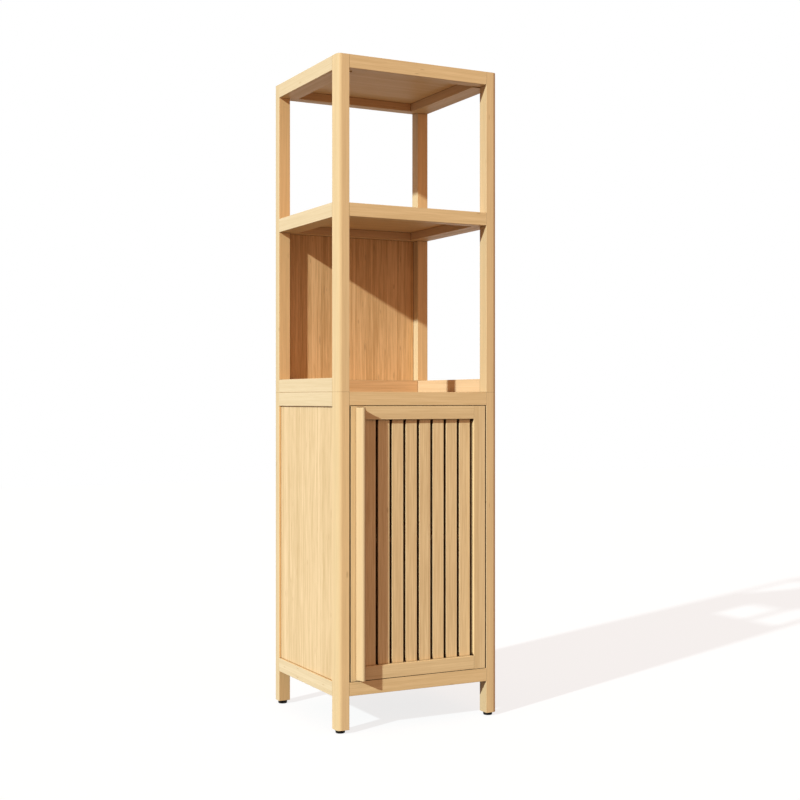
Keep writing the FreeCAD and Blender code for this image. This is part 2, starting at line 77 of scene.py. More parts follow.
class Wiring:
    """Short calls that add and link the shader nodes of one tree."""

    def __init__(self, tree: bpy.types.NodeTree) -> None:
        """Keep the tree that the calls work on."""
        self.tree = tree

    def add(self, kind: str, **settings: object) -> bpy.types.Node:
        """Add a node.

        Args:
            kind: Blender's name of the node type, without its leading "ShaderNode".
            settings: Properties to set on the new node.

        Returns:
            The new node.
        """
        node = self.tree.nodes.new(f"ShaderNode{kind}")
        for name, value in settings.items():
            setattr(node, name, value)
        return node

    def feed(self, socket: Socket, source: Source) -> None:
        """Link a socket into another, or set its plain value.

        Args:
            socket: The input to feed.
            source: An output to link, or a number, colour or vector to set.
        """
        if isinstance(source, Socket):
            self.tree.links.new(source, socket)
        elif socket.type == "RGBA":
            socket.default_value = (*source, 1.0)
        else:
            socket.default_value = source

    def math(self, operation: str, *values: Source, clamp: bool = False) -> Socket:
        """Work out one number.

        Args:
            operation: Blender's name of the operation.
            values: Its operands.
            clamp: Whether to keep the result between 0 and 1.

        Returns:
            The result.
        """
        node = self.add("Math", operation=operation, use_clamp=clamp)
        for socket, value in zip(node.inputs, values):
            self.feed(socket, value)
        return node.outputs[0]

    def inverse(self, value: Source) -> Socket:
        """1 less a number."""
        return self.math("SUBTRACT", 1.0, value)

    def centred(self, value: Source) -> Socket:
        """A number from 0 to 1, moved to lie about 0."""
        return self.math("SUBTRACT", value, 0.5)

    def vector(self, operation: str, *values: Source) -> Socket:
        """Work out one vector.

        Args:
            operation: Blender's name of the operation.
            values: Its operands.

        Returns:
            The resulting vector.
        """
        node = self.add("VectorMath", operation=operation)
        for socket, value in zip(node.inputs, values):
            self.feed(socket, value)
        return node.outputs["Vector"]

    def split(self, vector: Socket) -> list[Socket]:
        """Take a vector apart.

        Args:
            vector: The vector.

        Returns:
            Its three parts.
        """
        node = self.add("SeparateXYZ")
        self.feed(node.inputs[0], vector)
        return list(node.outputs)

    def join(self, *parts: Source) -> Socket:
        """Make a vector.

        Args:
            parts: Its three parts.

        Returns:
            The vector.
        """
        node = self.add("CombineXYZ")
        for socket, part in zip(node.inputs, parts):
            self.feed(socket, part)
        return node.outputs[0]

    def step(self, value: Source, low: Source, high: Source) -> Socket:
        """Smooth step of a value.

        Args:
            value: The value to map.
            low: Where the step leaves 0.
            high: Where the step reaches 1.

        Returns:
            A number from 0 to 1.
        """
        node = self.add("MapRange", interpolation_type="SMOOTHSTEP")
        for socket, source in zip(node.inputs, (value, low, high)):
            self.feed(socket, source)
        return node.outputs[0]

    def blend(self, share: Source, first: Source, second: Source) -> Socket:
        """Mix two colours.

        Args:
            share: How much of the second colour to take, from 0 to 1.
            first: Colour at 0.
            second: Colour at 1.

        Returns:
            The mixed colour.
        """
        node = self.add("Mix", data_type="RGBA")
        self.feed(node.inputs["Factor"], share)
        colours = [socket for socket in node.inputs if socket.type == "RGBA"]
        self.feed(colours[0], first)
        self.feed(colours[1], second)
        return next(socket for socket in node.outputs if socket.type == "RGBA")

    def tint(self, colour: Source, paint: RGB, mask: Source, depth: float) -> Socket:
        """A colour with paint laid over it where a mask is 1, up to a share of depth."""
        return self.blend(self.math("MULTIPLY", mask, depth), colour, paint)

    def noise(self, vector: Source, detail: float, roughness: float) -> Socket:
        """Smooth noise.

        Args:
            vector: Place, in units of the largest grain.
            detail: Number of finer layers.
            roughness: Strength of each finer layer.

        Returns:
            A number from 0 to 1, mostly near 0.5.
        """
        node = self.add("TexNoise")
        self.feed(node.inputs["Vector"], vector)
        self.feed(node.inputs["Scale"], 1.0)
        self.feed(node.inputs["Detail"], detail)
        self.feed(node.inputs["Roughness"], roughness)
        return node.outputs["Fac"]

    def chance(self, vector: Source) -> tuple[Socket, list[Socket]]:
        """Random draws that belong to a place.

        Args:
            vector: The place.

        Returns:
            One number from 0 to 1, and three more.
        """
        node = self.add("TexWhiteNoise")
        self.feed(node.inputs["Vector"], vector)
        colour = self.add("SeparateColor")
        self.feed(colour.inputs[0], node.outputs["Color"])
        return node.outputs["Value"], list(colour.outputs)

    def bump(self, height: Source, distance: float, strength: float) -> Socket:
        """Bend the normal by a relief.

        Args:
            height: The relief, from 0 to 1.
            distance: Its depth.
            strength: How much of it shows.

        Returns:
            The bent normal.
        """
        node = self.add("Bump")
        self.feed(node.inputs["Height"], height)
        self.feed(node.inputs["Distance"], distance)
        self.feed(node.inputs["Strength"], strength)
        return node.outputs[0]

    def group(self, tree: bpy.types.NodeTree, **sources: Source) -> bpy.types.NodeOutputs:
        """Place a group.

        Args:
            tree: The group's tree.
            sources: What feeds its inputs, by their names with _ for a space.

        Returns:
            The group's outputs.
        """
        node = self.add("Group")
        node.node_tree = tree
        for name, source in sources.items():
            self.feed(node.inputs[name.replace("_", " ").title()], source)
        return node.outputs


class Group:
    """A shader group with named sockets that several finishes share.

    While a group is built, wiring holds the calls on its tree, and given its inputs by name.
    """

    name: str
    takes: tuple[tuple[str, str], ...] = ()
    gives: tuple[str, ...] = ()
    wiring: Wiring
    given: Sockets

    def tree(self) -> bpy.types.NodeTree:
        """The group's tree, made at its first use."""
        made = bpy.data.node_groups.get(self.name)
        return made or self.build()

    def build(self) -> bpy.types.NodeTree:
        """Make the group's sockets and wire its nodes.

        Returns:
            The new tree.
        """
        tree = bpy.data.node_groups.new(self.name, "ShaderNodeTree")
        for name, kind in self.takes:
            tree.interface.new_socket(name, in_out="INPUT", socket_type=f"NodeSocket{kind}")
        for name in self.gives:
            tree.interface.new_socket(name, in_out="OUTPUT", socket_type="NodeSocketFloat")
        inward = tree.nodes.new("NodeGroupInput")
        outward = tree.nodes.new("NodeGroupOutput")
        self.wiring = Wiring(tree)
        self.given = {socket.name: socket for socket in inward.outputs}
        for name, source in self.wire().items():
            self.wiring.feed(outward.inputs[name], source)
        return tree

    def wire(self) -> Sockets:
        """Wire the group's nodes.

        Returns:
            The sources of the group's outputs by name.
        """
        raise NotImplementedError


class BambooStrips(Group):
    """Glued strips: a tone for each strip, fibres, node marks, seams and end grain.

    The fibres run along the last axis of the position. The first two axes lie across the strips.
    """

    name = "bamboo_strips"
    takes = (
        ("Position", "Vector"),
        ("Facing", "Vector"),
        ("Strip Width", "Float"),
        ("Strip Contrast", "Float"),
        ("Fibre Contrast", "Float"),
        ("Mark Share", "Float"),
    )
    gives = ("Tone", "Mark", "Seam", "Side", "Flat", "Round", "End Grain", "Pores", "Relief")

    cell_shift = Vector((0.37, 0.61, 0.0))
    cell_middle = Vector((0.5, 0.5, 0.5))
    broad_fibres = Vector((260.0, 260.0, 7.5))
    broad_layers = (3.0, 0.6)
    broad_weight = 1.5
    fine_fibres = Vector((1300.0, 1300.0, 22.0))
    fine_layers = (2.0, 0.55)
    fine_relief = 0.6
    fibre_mean = (broad_weight + 1.0) / 2
    strip_jump = 40.0
    seam_share = 0.055
    mark_spacing = 0.21
    mark_phases = 9.0
    mark_length = (0.006, 0.026)
    mark_width = (0.0010, 0.0016)
    mark_waver = 1.3
    mark_rim = (0.25, 1.2)
    mark_relief = 0.4
    pores_per_metre = 1300.0
    pore_rim = (0.1, 0.4)
    # Facing at which a face takes the painted-light colours.
    painted_light_turn = (0.5, 0.95)
    end_turn = (0.55, 0.8)

    def wire(self) -> Sockets:
        """Wire the strips.

        Returns:
            The sources of the group's outputs by name.
        """
        wiring = self.wiring
        facing = wiring.split(wiring.vector("ABSOLUTE", self.given["Facing"]))
        shows = [wiring.inverse(part) for part in facing[:2]]
        cells, insides = self.cells()
        strip_tone, strip_draws = wiring.chance(wiring.join(*cells, 0.0))
        broad, fine = self.fibres(strip_draws)
        seam = self.seam(insides, shows)
        across = wiring.math("ADD", *(wiring.math("MULTIPLY", *pair) for pair in zip(insides, shows)))
        across = wiring.math("MULTIPLY", across, self.given["Strip Width"])
        mark = self.mark(cells, strip_draws[0], across, broad)
        groove = wiring.math("MAXIMUM", seam, wiring.math("MULTIPLY", mark, self.mark_relief))
        slant = wiring.math("MULTIPLY", wiring.math("MULTIPLY", facing[0], facing[1]), 2.0)
        fibres = wiring.math("MULTIPLY_ADD", fine, self.fine_relief, broad)
        return {
            "Tone": self.tone(strip_tone, broad, fine),
            "Mark": mark,
            "Seam": seam,
            "Side": facing[0],
            # Painted light: mask of faces along the second axis, which take their own paler or darker
            # colours.
            "Flat": wiring.step(facing[1], *self.painted_light_turn),
            # Painted shade: mask of rounded corners, which turn between the first two axes.
            "Round": wiring.math("POWER", slant, 2.0),
            "End Grain": wiring.step(facing[2], *self.end_turn),
            "Pores": self.pores(),
            "Relief": wiring.math("SUBTRACT", fibres, groove),
        }

    def cells(self) -> tuple[list[Socket], list[Socket]]:
        """Divide a piece into strips.

        Returns:
            The strip's two numbers, and the place inside it both ways, from -0.5 to 0.5.
        """
        wiring = self.wiring
        widths = wiring.join(*[self.given["Strip Width"]] * 3)
        scaled = wiring.vector("DIVIDE", self.given["Position"], widths)
        scaled = wiring.vector("ADD", scaled, self.cell_shift)
        numbers = wiring.split(wiring.vector("FLOOR", scaled))
        insides = wiring.vector("SUBTRACT", wiring.vector("FRACTION", scaled), self.cell_middle)
        return numbers[:2], wiring.split(insides)[:2]

    def fibres(self, draws: list[Socket]) -> tuple[Socket, Socket]:
        """Draw the fibres.

        Args:
            draws: Random numbers that shift the broad fibres of a strip.

        Returns:
            The broad fibres and the fine ones.
        """
        wiring = self.wiring
        jump = wiring.vector("SCALE", wiring.join(*draws))
        jump.node.inputs["Scale"].default_value = self.strip_jump
        broad = wiring.vector("MULTIPLY", self.given["Position"], self.broad_fibres)
        broad = wiring.noise(wiring.vector("ADD", broad, jump), *self.broad_layers)
        fine = wiring.vector("MULTIPLY", self.given["Position"], self.fine_fibres)
        return broad, wiring.noise(fine, *self.fine_layers)

    def tone(self, strip_tone: Socket, broad: Socket, fine: Socket) -> Socket:
        """Mix a strip's own tone with its fibres.

        Args:
            strip_tone: Random tone of the strip.
            broad: The broad fibres.
            fine: The fine fibres.

        Returns:
            The tone, from 0 for deep to 1 for pale.
        """
        wiring = self.wiring
        swing = wiring.math("MULTIPLY", wiring.centred(strip_tone), self.given["Strip Contrast"])
        fibres = wiring.math("ADD", wiring.math("MULTIPLY", broad, self.broad_weight), fine)
        fibres = wiring.math("SUBTRACT", fibres, self.fibre_mean)
        tone = wiring.math("MULTIPLY_ADD", fibres, self.given["Fibre Contrast"], swing)
        return wiring.math("ADD", tone, 0.5, clamp=True)

    def seam(self, insides: list[Socket], shows: list[Socket]) -> Socket:
        """Draw the glue lines between strips.

        Args:
            insides: Place inside the strip both ways, from -0.5 to 0.5.
            shows: How much of each way the surface shows.

        Returns:
            A mask of the glue lines.
        """
        wiring = self.wiring
        lines = []
        for inside, show in zip(insides, shows):
            line = wiring.step(wiring.math("ABSOLUTE", inside), 0.5 - self.seam_share, 0.5)
            lines.append(wiring.math("MULTIPLY", line, show))
        return wiring.math("MAXIMUM", *lines)

    def mark(self, cells: list[Socket], phase: Socket, across: Socket, broad: Socket) -> Socket:
        """Draw the short dark marks that the joints of the cane leave on some strips.

        Args:
            cells: The strip's two numbers.
            phase: Random number that shifts the joints of a strip.
            across: Distance from the middle of the strip.
            broad: The broad fibres, which ruffle a mark's rim.

        Returns:
            A mask of the marks.
        """
        wiring = self.wiring
        along = wiring.math("DIVIDE", wiring.split(self.given["Position"])[2], self.mark_spacing)
        along = wiring.math("MULTIPLY_ADD", phase, self.mark_phases, along)
        chance, draws = wiring.chance(wiring.join(*cells, wiring.math("FLOOR", along)))
        length = wiring.math("MULTIPLY_ADD", draws[0], self.mark_length[1], self.mark_length[0])
        width = wiring.math("MULTIPLY_ADD", draws[1], self.mark_width[1], self.mark_width[0])
        along = wiring.centred(wiring.math("FRACT", along))
        along = wiring.math("DIVIDE", wiring.math("MULTIPLY", along, self.mark_spacing), length)
        across = wiring.math("DIVIDE", across, width)
        squares = [wiring.math("POWER", part, 2.0) for part in (along, across)]
        radius = wiring.math("SQRT", wiring.math("ADD", *squares))
        waver = wiring.math("MULTIPLY", wiring.centred(broad), self.mark_waver)
        outside = wiring.step(wiring.math("ADD", radius, waver), *self.mark_rim)
        drawn = wiring.math("LESS_THAN", chance, self.given["Mark Share"])
        return wiring.math("MULTIPLY", wiring.inverse(outside), drawn)

    def pores(self) -> Socket:
        """Draw the pores of sawn ends.

        Returns:
            A mask of the pores.
        """
        wiring = self.wiring
        scale = Vector((self.pores_per_metre, self.pores_per_metre, 0.0))
        texture = wiring.add("TexVoronoi")
        wiring.feed(texture.inputs["Vector"], wiring.vector("MULTIPLY", self.given["Position"], scale))
        wiring.feed(texture.inputs["Scale"], 1.0)
        return wiring.inverse(wiring.step(texture.outputs["Distance"], *self.pore_rim))


class RubbedEdges(Group):
    """Edges where use has thinned the surface, broken up by noise."""

    name = "rubbed_edges"
    takes = (("Position", "Vector"), ("Reach", "Float"))
    gives = ("Edge",)

    rays = 4
    patch_scale = Vector((90.0, 90.0, 90.0))
    patch_layers = (2.0, 0.5)
    patch_lift = 0.5
    wear = (0.02, 0.22)

    def wire(self) -> Sockets:
        """Wire the edge mask: where a rounded normal leaves the true one.

        Returns:
            The sources of the group's outputs by name.
        """
        wiring = self.wiring
        rounded = wiring.add("Bevel", samples=self.rays)
        wiring.feed(rounded.inputs["Radius"], self.given["Reach"])
        surface = wiring.add("NewGeometry")
        agreement = wiring.add("VectorMath", operation="DOT_PRODUCT")
        wiring.feed(agreement.inputs[0], rounded.outputs[0])
        wiring.feed(agreement.inputs[1], surface.outputs["Normal"])
        bend = wiring.inverse(agreement.outputs["Value"])
        place = wiring.vector("MULTIPLY", self.given["Position"], self.patch_scale)
        patches = wiring.math("ADD", wiring.noise(place, *self.patch_layers), self.patch_lift)
        return {"Edge": wiring.step(wiring.math("MULTIPLY", bend, patches), *self.wear)}


class PaintedCreviceShade(Group):
    """Painted shade in narrow gaps and inner corners, where little light comes in."""

    name = "painted_crevice_shade"
    takes = (("Reach", "Float"), ("Start", "Float"))
    gives = ("Shade",)

    rays = 8
    ramp = 0.40

    def wire(self) -> Sockets:
        """Wire the painted-shade mask: how much of the view outward is closed off nearby.

        Returns:
            The sources of the group's outputs by name.
        """
        wiring = self.wiring
        start = self.given["Start"]
        closeness = wiring.add("AmbientOcclusion", samples=self.rays)
        wiring.feed(closeness.inputs["Distance"], self.given["Reach"])
        closed = wiring.inverse(closeness.outputs["AO"])
        return {"Shade": wiring.step(closed, start, wiring.math("ADD", start, self.ramp))}


class MouldedSkin(Group):
    """Fine pebble and faint flow marks of a moulded or plated surface."""

    name = "moulded_skin"
    takes = (("Position", "Vector"), ("Grain", "Float"))
    gives = ("Cloud", "Relief")

    cloud_scale = Vector((160.0, 160.0, 160.0))
    cloud_layers = (3.0, 0.6)
    pebble_layers = (2.0, 0.5)

    def wire(self) -> Sockets:
        """Wire the slow clouds and the fine relief.

        Returns:
            The sources of the group's outputs by name.
        """
        wiring = self.wiring
        place = self.given["Position"]
        grains = wiring.join(*[self.given["Grain"]] * 3)
        pebble = wiring.noise(wiring.vector("MULTIPLY", place, grains), *self.pebble_layers)
        cloud = wiring.noise(wiring.vector("MULTIPLY", place, self.cloud_scale), *self.cloud_layers)
        return {"Cloud": cloud, "Relief": pebble}


def empty_material(name: str) -> tuple[bpy.types.Material, Wiring]:
    """Start a material with no nodes.

    Args:
        name: The material's name.

    Returns:
        The material, and calls on its tree.
    """
    material = bpy.data.materials.new(name)
    material.use_nodes = True
    material.node_tree.nodes.clear()
    return material, Wiring(material.node_tree)


def new_material(name: str) -> tuple[bpy.types.Material, Wiring, bpy.types.Node]:
    """Start a material with one shader.

    Args:
        name: The material's name.

    Returns:
        The material, calls on its tree, and its shader, linked to the output.
    """
    material, wiring = empty_material(name)
    shader = wiring.add("BsdfPrincipled")
    output = wiring.add("OutputMaterial")
    wiring.feed(output.inputs["Surface"], shader.outputs[0])
    return material, wiring, shader


@dataclass(frozen=True)
class Bamboo:
    """Lacquered bamboo: colours, strips and gloss of one kind of piece.

    The strips run from deep to pale. Faces that look along the second axis across the strips take
    another pair of colours where these are given: painted light, paler or darker than the other faces
    to stand in for how the light falls on them. A depth says how much of a colour is laid over the
    strips. Painted shade darkens gaps and inner corners, and starts sooner on faces along the first
    axis.
    """

    name: str
    pale: RGB = (0.700, 0.518, 0.280)
    deep: RGB = (0.570, 0.405, 0.196)
    # Painted light: colours of faces along the second axis, paler or darker for how the light falls on
    # them.
    painted_light_pale: RGB | None = None
    painted_light_deep: RGB | None = None
    mark: RGB = (0.360, 0.200, 0.080)
    seam: RGB = (0.420, 0.240, 0.090)
    end: RGB = (0.500, 0.310, 0.135)
    pore: RGB = (0.230, 0.125, 0.050)
    rubbed: RGB = (0.770, 0.560, 0.310)
    strip_width: float = 0.0092
    strip_contrast: float = 0.34
    fibre_contrast: float = 0.55
    mark_share: float = 0.10
    mark_depth: float = 0.45
    seam_depth: float = 0.22
    roughness: float = 0.52
    roughness_swing: float = 0.14
    gloss: float = 0.15
    lacquer: float = 0.02
    lacquer_roughness: float = 0.32
    relief: float = 0.00007
    relief_strength: float = 0.35
    edge_reach: float = 0.0011
    edge_depth: float = 0.22
    # Painted shade on rounded corners, which the key lamp lights more squarely.
    painted_corner_shade_depth: float = 0.0
    # Painted shade in gaps and inner corners: its colour, reach, start, lead on side faces and depth.
    painted_shade_colour: RGB = (0.190, 0.075, 0.020)
    painted_shade_reach: float = 0.002
    painted_shade_start: float = 0.05
    painted_shade_side_lead: float = 0.0
    painted_shade_depth: float = 0.85

    def material(self, run: Run) -> bpy.types.Material:
        """The finish with its fibres along one direction.

        Args:
            run: Direction of the fibres.

        Returns:
            The material, made at its first use.
        """
        name = f"{self.name}_{run.name.lower()}"
        if name in bpy.data.materials:
            return bpy.data.materials[name]
        material, wiring, shader = new_material(name)
        surface = wiring.add("TexCoord").outputs
        position = self.turned(wiring, surface["Object"], run)
        strips = wiring.group(
            BambooStrips().tree(),
            position=position,
            facing=self.turned(wiring, surface["Normal"], run),
            strip_width=self.strip_width,
            strip_contrast=self.strip_contrast,
            fibre_contrast=self.fibre_contrast,
            mark_share=self.mark_share,
        )
        colour = self.timber(wiring, strips)
        colour = self.used(wiring, strips, position, colour)
        wiring.feed(shader.inputs["Base Color"], colour)
        dull = wiring.math("SUBTRACT", 0.5, strips["Tone"])
        dull = wiring.math("ADD", dull, strips["End Grain"])
        dull = wiring.math("MULTIPLY_ADD", dull, self.roughness_swing, self.roughness)
        wiring.feed(shader.inputs["Roughness"], dull)
        normal = wiring.bump(strips["Relief"], self.relief, self.relief_strength)
        wiring.feed(shader.inputs["Normal"], normal)
        wiring.feed(shader.inputs["Specular IOR Level"], self.gloss)
        wiring.feed(shader.inputs["Coat Weight"], self.lacquer)
        wiring.feed(shader.inputs["Coat Roughness"], self.lacquer_roughness)
        return material

    def timber(self, wiring: Wiring, strips: bpy.types.NodeOutputs) -> Socket:
        """Colour of the new timber, with light and shade painted by which way a face looks.

        Args:
            wiring: Calls on the material's tree.
            strips: Outputs of the strips.

        Returns:
            The colour, with marks, seams, sawn ends, and painted light and shade by facing.
        """
        colour = wiring.blend(strips["Tone"], self.deep, self.pale)
        # Painted light: faces along the second axis take their own paler or darker colours.
        if self.painted_light_pale and self.painted_light_deep:
            painted_light_colour = wiring.blend(strips["Tone"], self.painted_light_deep, self.painted_light_pale)
            colour = wiring.blend(strips["Flat"], colour, painted_light_colour)
        # Painted shade: rounded corners darken toward the deep colour, where the key lamp lights them
        # brighter.
        if self.painted_corner_shade_depth:
            colour = wiring.tint(colour, self.deep, strips["Round"], self.painted_corner_shade_depth)
        colour = wiring.tint(colour, self.mark, strips["Mark"], self.mark_depth)
        colour = wiring.tint(colour, self.seam, strips["Seam"], self.seam_depth)
        sawn = wiring.blend(strips["Pores"], self.end, self.pore)
        return wiring.blend(strips["End Grain"], colour, sawn)

    def used(
        self, wiring: Wiring, strips: bpy.types.NodeOutputs, position: Socket, colour: Socket
    ) -> Socket:
        """Colour of the timber in use, with painted shade.

        Args:
            wiring: Calls on the material's tree.
            strips: Outputs of the strips.
            position: Place on the piece, with the fibres along its last axis.
            colour: Colour of the new timber.

        Returns:
            The colour, with rubbed edges and painted shade in gaps and inner corners.
        """
        rubbing = wiring.group(RubbedEdges().tree(), position=position, reach=self.edge_reach)
        colour = wiring.tint(colour, self.rubbed, rubbing["Edge"], self.edge_depth)
        # Painted shade: gaps and inner corners darken where the view outward is closed off nearby.
        start = wiring.math("MULTIPLY_ADD", strips["Side"], -self.painted_shade_side_lead, self.painted_shade_start)
        gaps = wiring.group(PaintedCreviceShade().tree(), reach=self.painted_shade_reach, start=start)
        return wiring.tint(colour, self.painted_shade_colour, gaps["Shade"], self.painted_shade_depth)

    @staticmethod
    def turned(wiring: Wiring, vector: Socket, run: Run) -> Socket:
        """A vector with its axes reordered, so that the last one runs along the fibres."""
        parts = wiring.split(vector)
        return wiring.join(*(parts[axis] for axis in run.value))


@dataclass(frozen=True)
class Skin:
    """Moulded plastic or plated metal with a fine relief."""

    name: str
    bright: RGB
    dark: RGB
    metallic: float = 0.0
    gloss: float = 0.5
    roughness: float = 0.5
    roughness_swing: float = 0.2
    grain: float = 5200.0
    relief: float = 0.00005
    relief_strength: float = 0.5

    def material(self) -> bpy.types.Material:
        """The finish.

        Returns:
            The material, made at its first use.
        """
        name = f"{self.name}_skin"
        if name in bpy.data.materials:
            return bpy.data.materials[name]
        material, wiring, shader = new_material(name)
        place = wiring.add("TexCoord").outputs["Object"]
        skin = wiring.group(MouldedSkin().tree(), position=place, grain=self.grain)
        wiring.feed(shader.inputs["Base Color"], wiring.blend(skin["Cloud"], self.dark, self.bright))
        wiring.feed(shader.inputs["Metallic"], self.metallic)
        wiring.feed(shader.inputs["Specular IOR Level"], self.gloss)
        dull = wiring.centred(skin["Cloud"])
        dull = wiring.math("MULTIPLY_ADD", dull, self.roughness_swing, self.roughness)
        wiring.feed(shader.inputs["Roughness"], dull)
        normal = wiring.bump(skin["Relief"], self.relief, self.relief_strength)
        wiring.feed(shader.inputs["Normal"], normal)
        return material


POST_BAMBOO = Bamboo("post_bamboo", strip_width=0.0106, fibre_contrast=0.90)
# Painted light and shade: each post has its own copy, with fronts paler than sides and sides darker or
# lighter for the light they get.
PAINTED_LIGHT_LEFT_POST_BAMBOO = replace(
    POST_BAMBOO, name="painted_light_left_post_bamboo", pale=(0.670, 0.480, 0.260), deep=(0.540, 0.387, 0.204),
    painted_light_pale=(0.855, 0.580, 0.293), painted_light_deep=(0.700, 0.474, 0.233), painted_corner_shade_depth=0.55,
)
PAINTED_LIGHT_RIGHT_POST_BAMBOO = replace(
    POST_BAMBOO, name="painted_light_right_post_bamboo", pale=(0.598, 0.417, 0.226), deep=(0.482, 0.336, 0.177),
    painted_light_pale=(0.812, 0.546, 0.272), painted_light_deep=(0.664, 0.446, 0.216),
)
PAINTED_LIGHT_REAR_POST_BAMBOO = replace(
    POST_BAMBOO, name="painted_light_rear_post_bamboo", pale=(0.630, 0.470, 0.270), deep=(0.510, 0.378, 0.211),
    painted_light_pale=(0.805, 0.495, 0.225), painted_light_deep=(0.655, 0.395, 0.175),
)
# Painted shade: the boards are deepened toward brown, as their undersides lie in shade.
SHADED_BOARD_BAMBOO = Bamboo(
    "board_bamboo", pale=(0.680, 0.455, 0.225), deep=(0.550, 0.345, 0.155),
    strip_width=0.0120, strip_contrast=0.45, fibre_contrast=0.8,
)
# Rails start from the boards' colours, which carry that painted shade.
RAIL_BAMBOO = Bamboo(
    "rail_bamboo", pale=SHADED_BOARD_BAMBOO.pale, deep=SHADED_BOARD_BAMBOO.deep,
    painted_light_pale=SHADED_BOARD_BAMBOO.pale, painted_light_deep=SHADED_BOARD_BAMBOO.deep,
    strip_width=0.0098, fibre_contrast=0.75, mark_share=0.06,
)
# Painted shade: rear rails are deeper, for the shade at the back of the rack.
SHADED_REAR_RAIL_BAMBOO = replace(
    RAIL_BAMBOO, name="shaded_rear_rail_bamboo", pale=(0.680, 0.410, 0.200), deep=(0.550, 0.312, 0.140),
    fibre_contrast=1.20,
)
# Painted light: front rails are paler on their front faces, for the light on faces turned to the front.
PAINTED_LIGHT_FRONT_RAIL_BAMBOO = replace(
    RAIL_BAMBOO, name="painted_light_front_rail_bamboo", pale=(0.830, 0.570, 0.292), deep=(0.680, 0.448, 0.208),
    fibre_contrast=1.20,
)
# Painted light: the side faces of the left rails, lit by the key lamp, are paler and less saturated.
PAINTED_LIGHT_LEFT_RAIL_BAMBOO = replace(
    RAIL_BAMBOO, name="painted_light_left_rail_bamboo",
    painted_light_pale=(0.660, 0.515, 0.325), painted_light_deep=(0.545, 0.410, 0.237),
)
# Painted shade: the side faces of the right rails, which lie in shade, are darker.
SHADED_RIGHT_RAIL_BAMBOO = replace(
    RAIL_BAMBOO, name="shaded_right_rail_bamboo",
    painted_light_pale=(0.640, 0.438, 0.255), painted_light_deep=(0.530, 0.349, 0.186),
)
PANEL_BAMBOO = Bamboo(
    "panel_bamboo", pale=(0.685, 0.495, 0.285), deep=(0.495, 0.338, 0.166), strip_width=0.0058,
    strip_contrast=0.45, fibre_contrast=1.60, mark_share=0.25, mark_depth=0.35,
)
BACK_BAMBOO = replace(
    PANEL_BAMBOO, name="back_bamboo", pale=(0.760, 0.450, 0.208), deep=(0.520, 0.285, 0.112),
    strip_contrast=0.60, fibre_contrast=1.80, mark_share=0.30, mark_depth=0.50,
)
# Painted light: the door pieces are paler, for the light on faces turned to the front; their painted
# shade in gaps is near black.
PAINTED_LIGHT_DOOR_BAMBOO = Bamboo(
    "door_bamboo", pale=(0.825, 0.585, 0.305), deep=(0.655, 0.436, 0.210),
    strip_contrast=0.35, fibre_contrast=1.00, mark_share=0.05, painted_shade_colour=(0.040, 0.010, 0.002),
    painted_shade_reach=0.008, painted_shade_start=0.22, painted_shade_side_lead=0.20, painted_shade_depth=0.98,
)
# Painted light as on the door, with painted shade reaching further into the gaps between slats.
PAINTED_LIGHT_SLAT_BAMBOO = replace(
    PAINTED_LIGHT_DOOR_BAMBOO, name="painted_light_slat_bamboo", pale=(0.835, 0.590, 0.307), deep=(0.665, 0.440, 0.212),
    fibre_contrast=1.70, painted_shade_reach=0.012, painted_shade_start=0.30, painted_shade_side_lead=0.24,
)
HANDLE_BAMBOO = Bamboo(
    "handle_bamboo", pale=(0.610, 0.430, 0.240), deep=(0.500, 0.335, 0.168), mark_share=0.0,
)
HIDDEN_BAMBOO = Bamboo("hidden_bamboo", lacquer=0.0, roughness=0.66, gloss=0.25)
PLATED_STEEL = Skin(
    "plated_steel", (0.66, 0.66, 0.67), (0.50, 0.50, 0.52), metallic=1.0, roughness=0.30, relief=0.00002,
)
BLACK_PLASTIC = Skin("black_plastic", (0.012, 0.010, 0.009), (0.006, 0.005, 0.004), gloss=0.08)
# Lit and shaded copies of the post finish, by where each post stands.
POST_FINISHES = {
    ("front", "left"): PAINTED_LIGHT_LEFT_POST_BAMBOO,
    ("front", "right"): PAINTED_LIGHT_RIGHT_POST_BAMBOO,
    ("rear", "left"): PAINTED_LIGHT_REAR_POST_BAMBOO,
    ("rear", "right"): PAINTED_LIGHT_REAR_POST_BAMBOO,
}
# Lit and shaded copies of the rail finish, by where each rail lies.
RAIL_FINISHES = {
    "front": PAINTED_LIGHT_FRONT_RAIL_BAMBOO,
    "rear": SHADED_REAR_RAIL_BAMBOO,
    "left": PAINTED_LIGHT_LEFT_RAIL_BAMBOO,
    "right": SHADED_RIGHT_RAIL_BAMBOO,
}


def dress(node: str, material: bpy.types.Material) -> None:
    """Give a node of the frame its finish.

    Args:
        node: The node's name.
        material: The finish.
    """
    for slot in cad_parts[node].material_slots:
        slot.material = material
    LOG.info("%s dressed in %s", node, material.name)


def dress_posts(kind: str) -> None:
    """Give the four posts of one half, rack or leg, their finishes."""
    for (end, side), finish in POST_FINISHES.items():
        dress(f"{kind}_post_{end}_{side}", finish.material(Run.UPRIGHT))


def dress_frame(name: str) -> None:
    """Give the board and the four rails of one frame their finishes.

    Args:
        name: The frame's name.
    """
    dress(f"{name}_board", SHADED_BOARD_BAMBOO.material(Run.ACROSS))
    for end in ENDS:
        dress(f"{name}_rail_{end}", RAIL_FINISHES[end].material(Run.ACROSS))
    for side in SIDES:
        dress(f"{name}_rail_{side}", RAIL_FINISHES[side].material(Run.DEEP))


